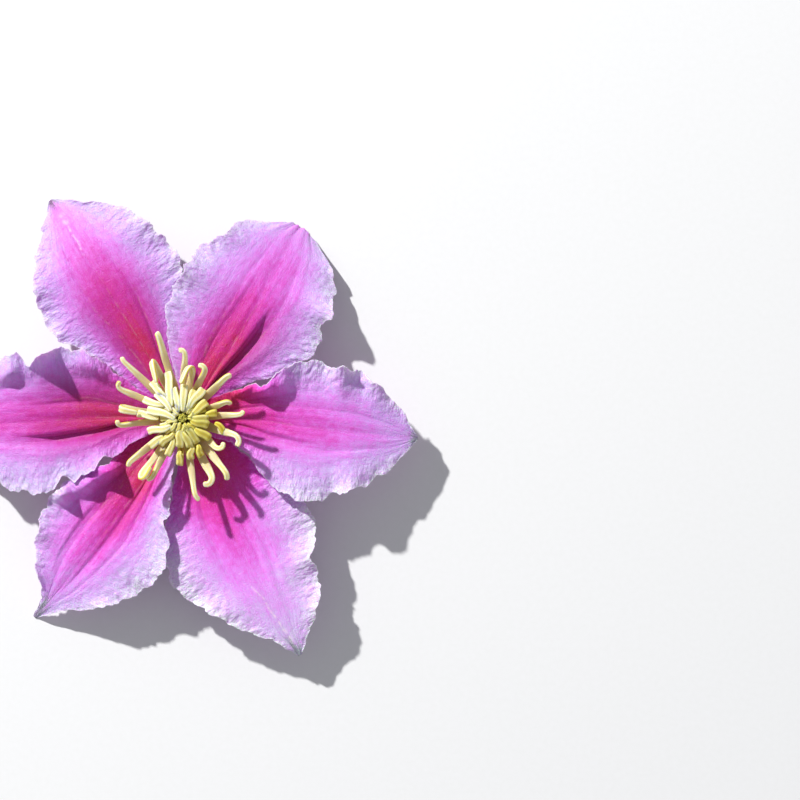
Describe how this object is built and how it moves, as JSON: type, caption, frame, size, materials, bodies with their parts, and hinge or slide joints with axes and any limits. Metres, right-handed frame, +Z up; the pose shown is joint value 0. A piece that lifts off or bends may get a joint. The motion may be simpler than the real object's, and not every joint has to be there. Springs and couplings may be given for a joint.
{
  "type": "clematis flower",
  "caption": "Open large-flowered clematis bloom, as picked: broad mauve-pink petals with a magenta bar, a crown of cream strap-like stamens and a short bent stalk, lying face up.",
  "frame": {"origin": "middle of the bounding box's footprint, on the surface that the bloom lies on", "axes": "+Z up, out of the face of the bloom; +X to the right and +Y to the top, as seen from above"},
  "size_m": [0.1006, 0.0968, 0.0201],
  "materials": {
    "petals": "matte",
    "stamens": "matte",
    "pistils": "matte",
    "stem": "satin"
  },
  "bodies": {
    "root": {"petal_upper_left": "petals", "petal_upper_right": "petals", "petal_right": "petals", "petal_lower_right": "petals", "petal_lower_left": "petals", "petal_left": "petals", "stem": "stem", "stamens": "stamens", "pistils": "pistils"}
  },
  "joints": []
}
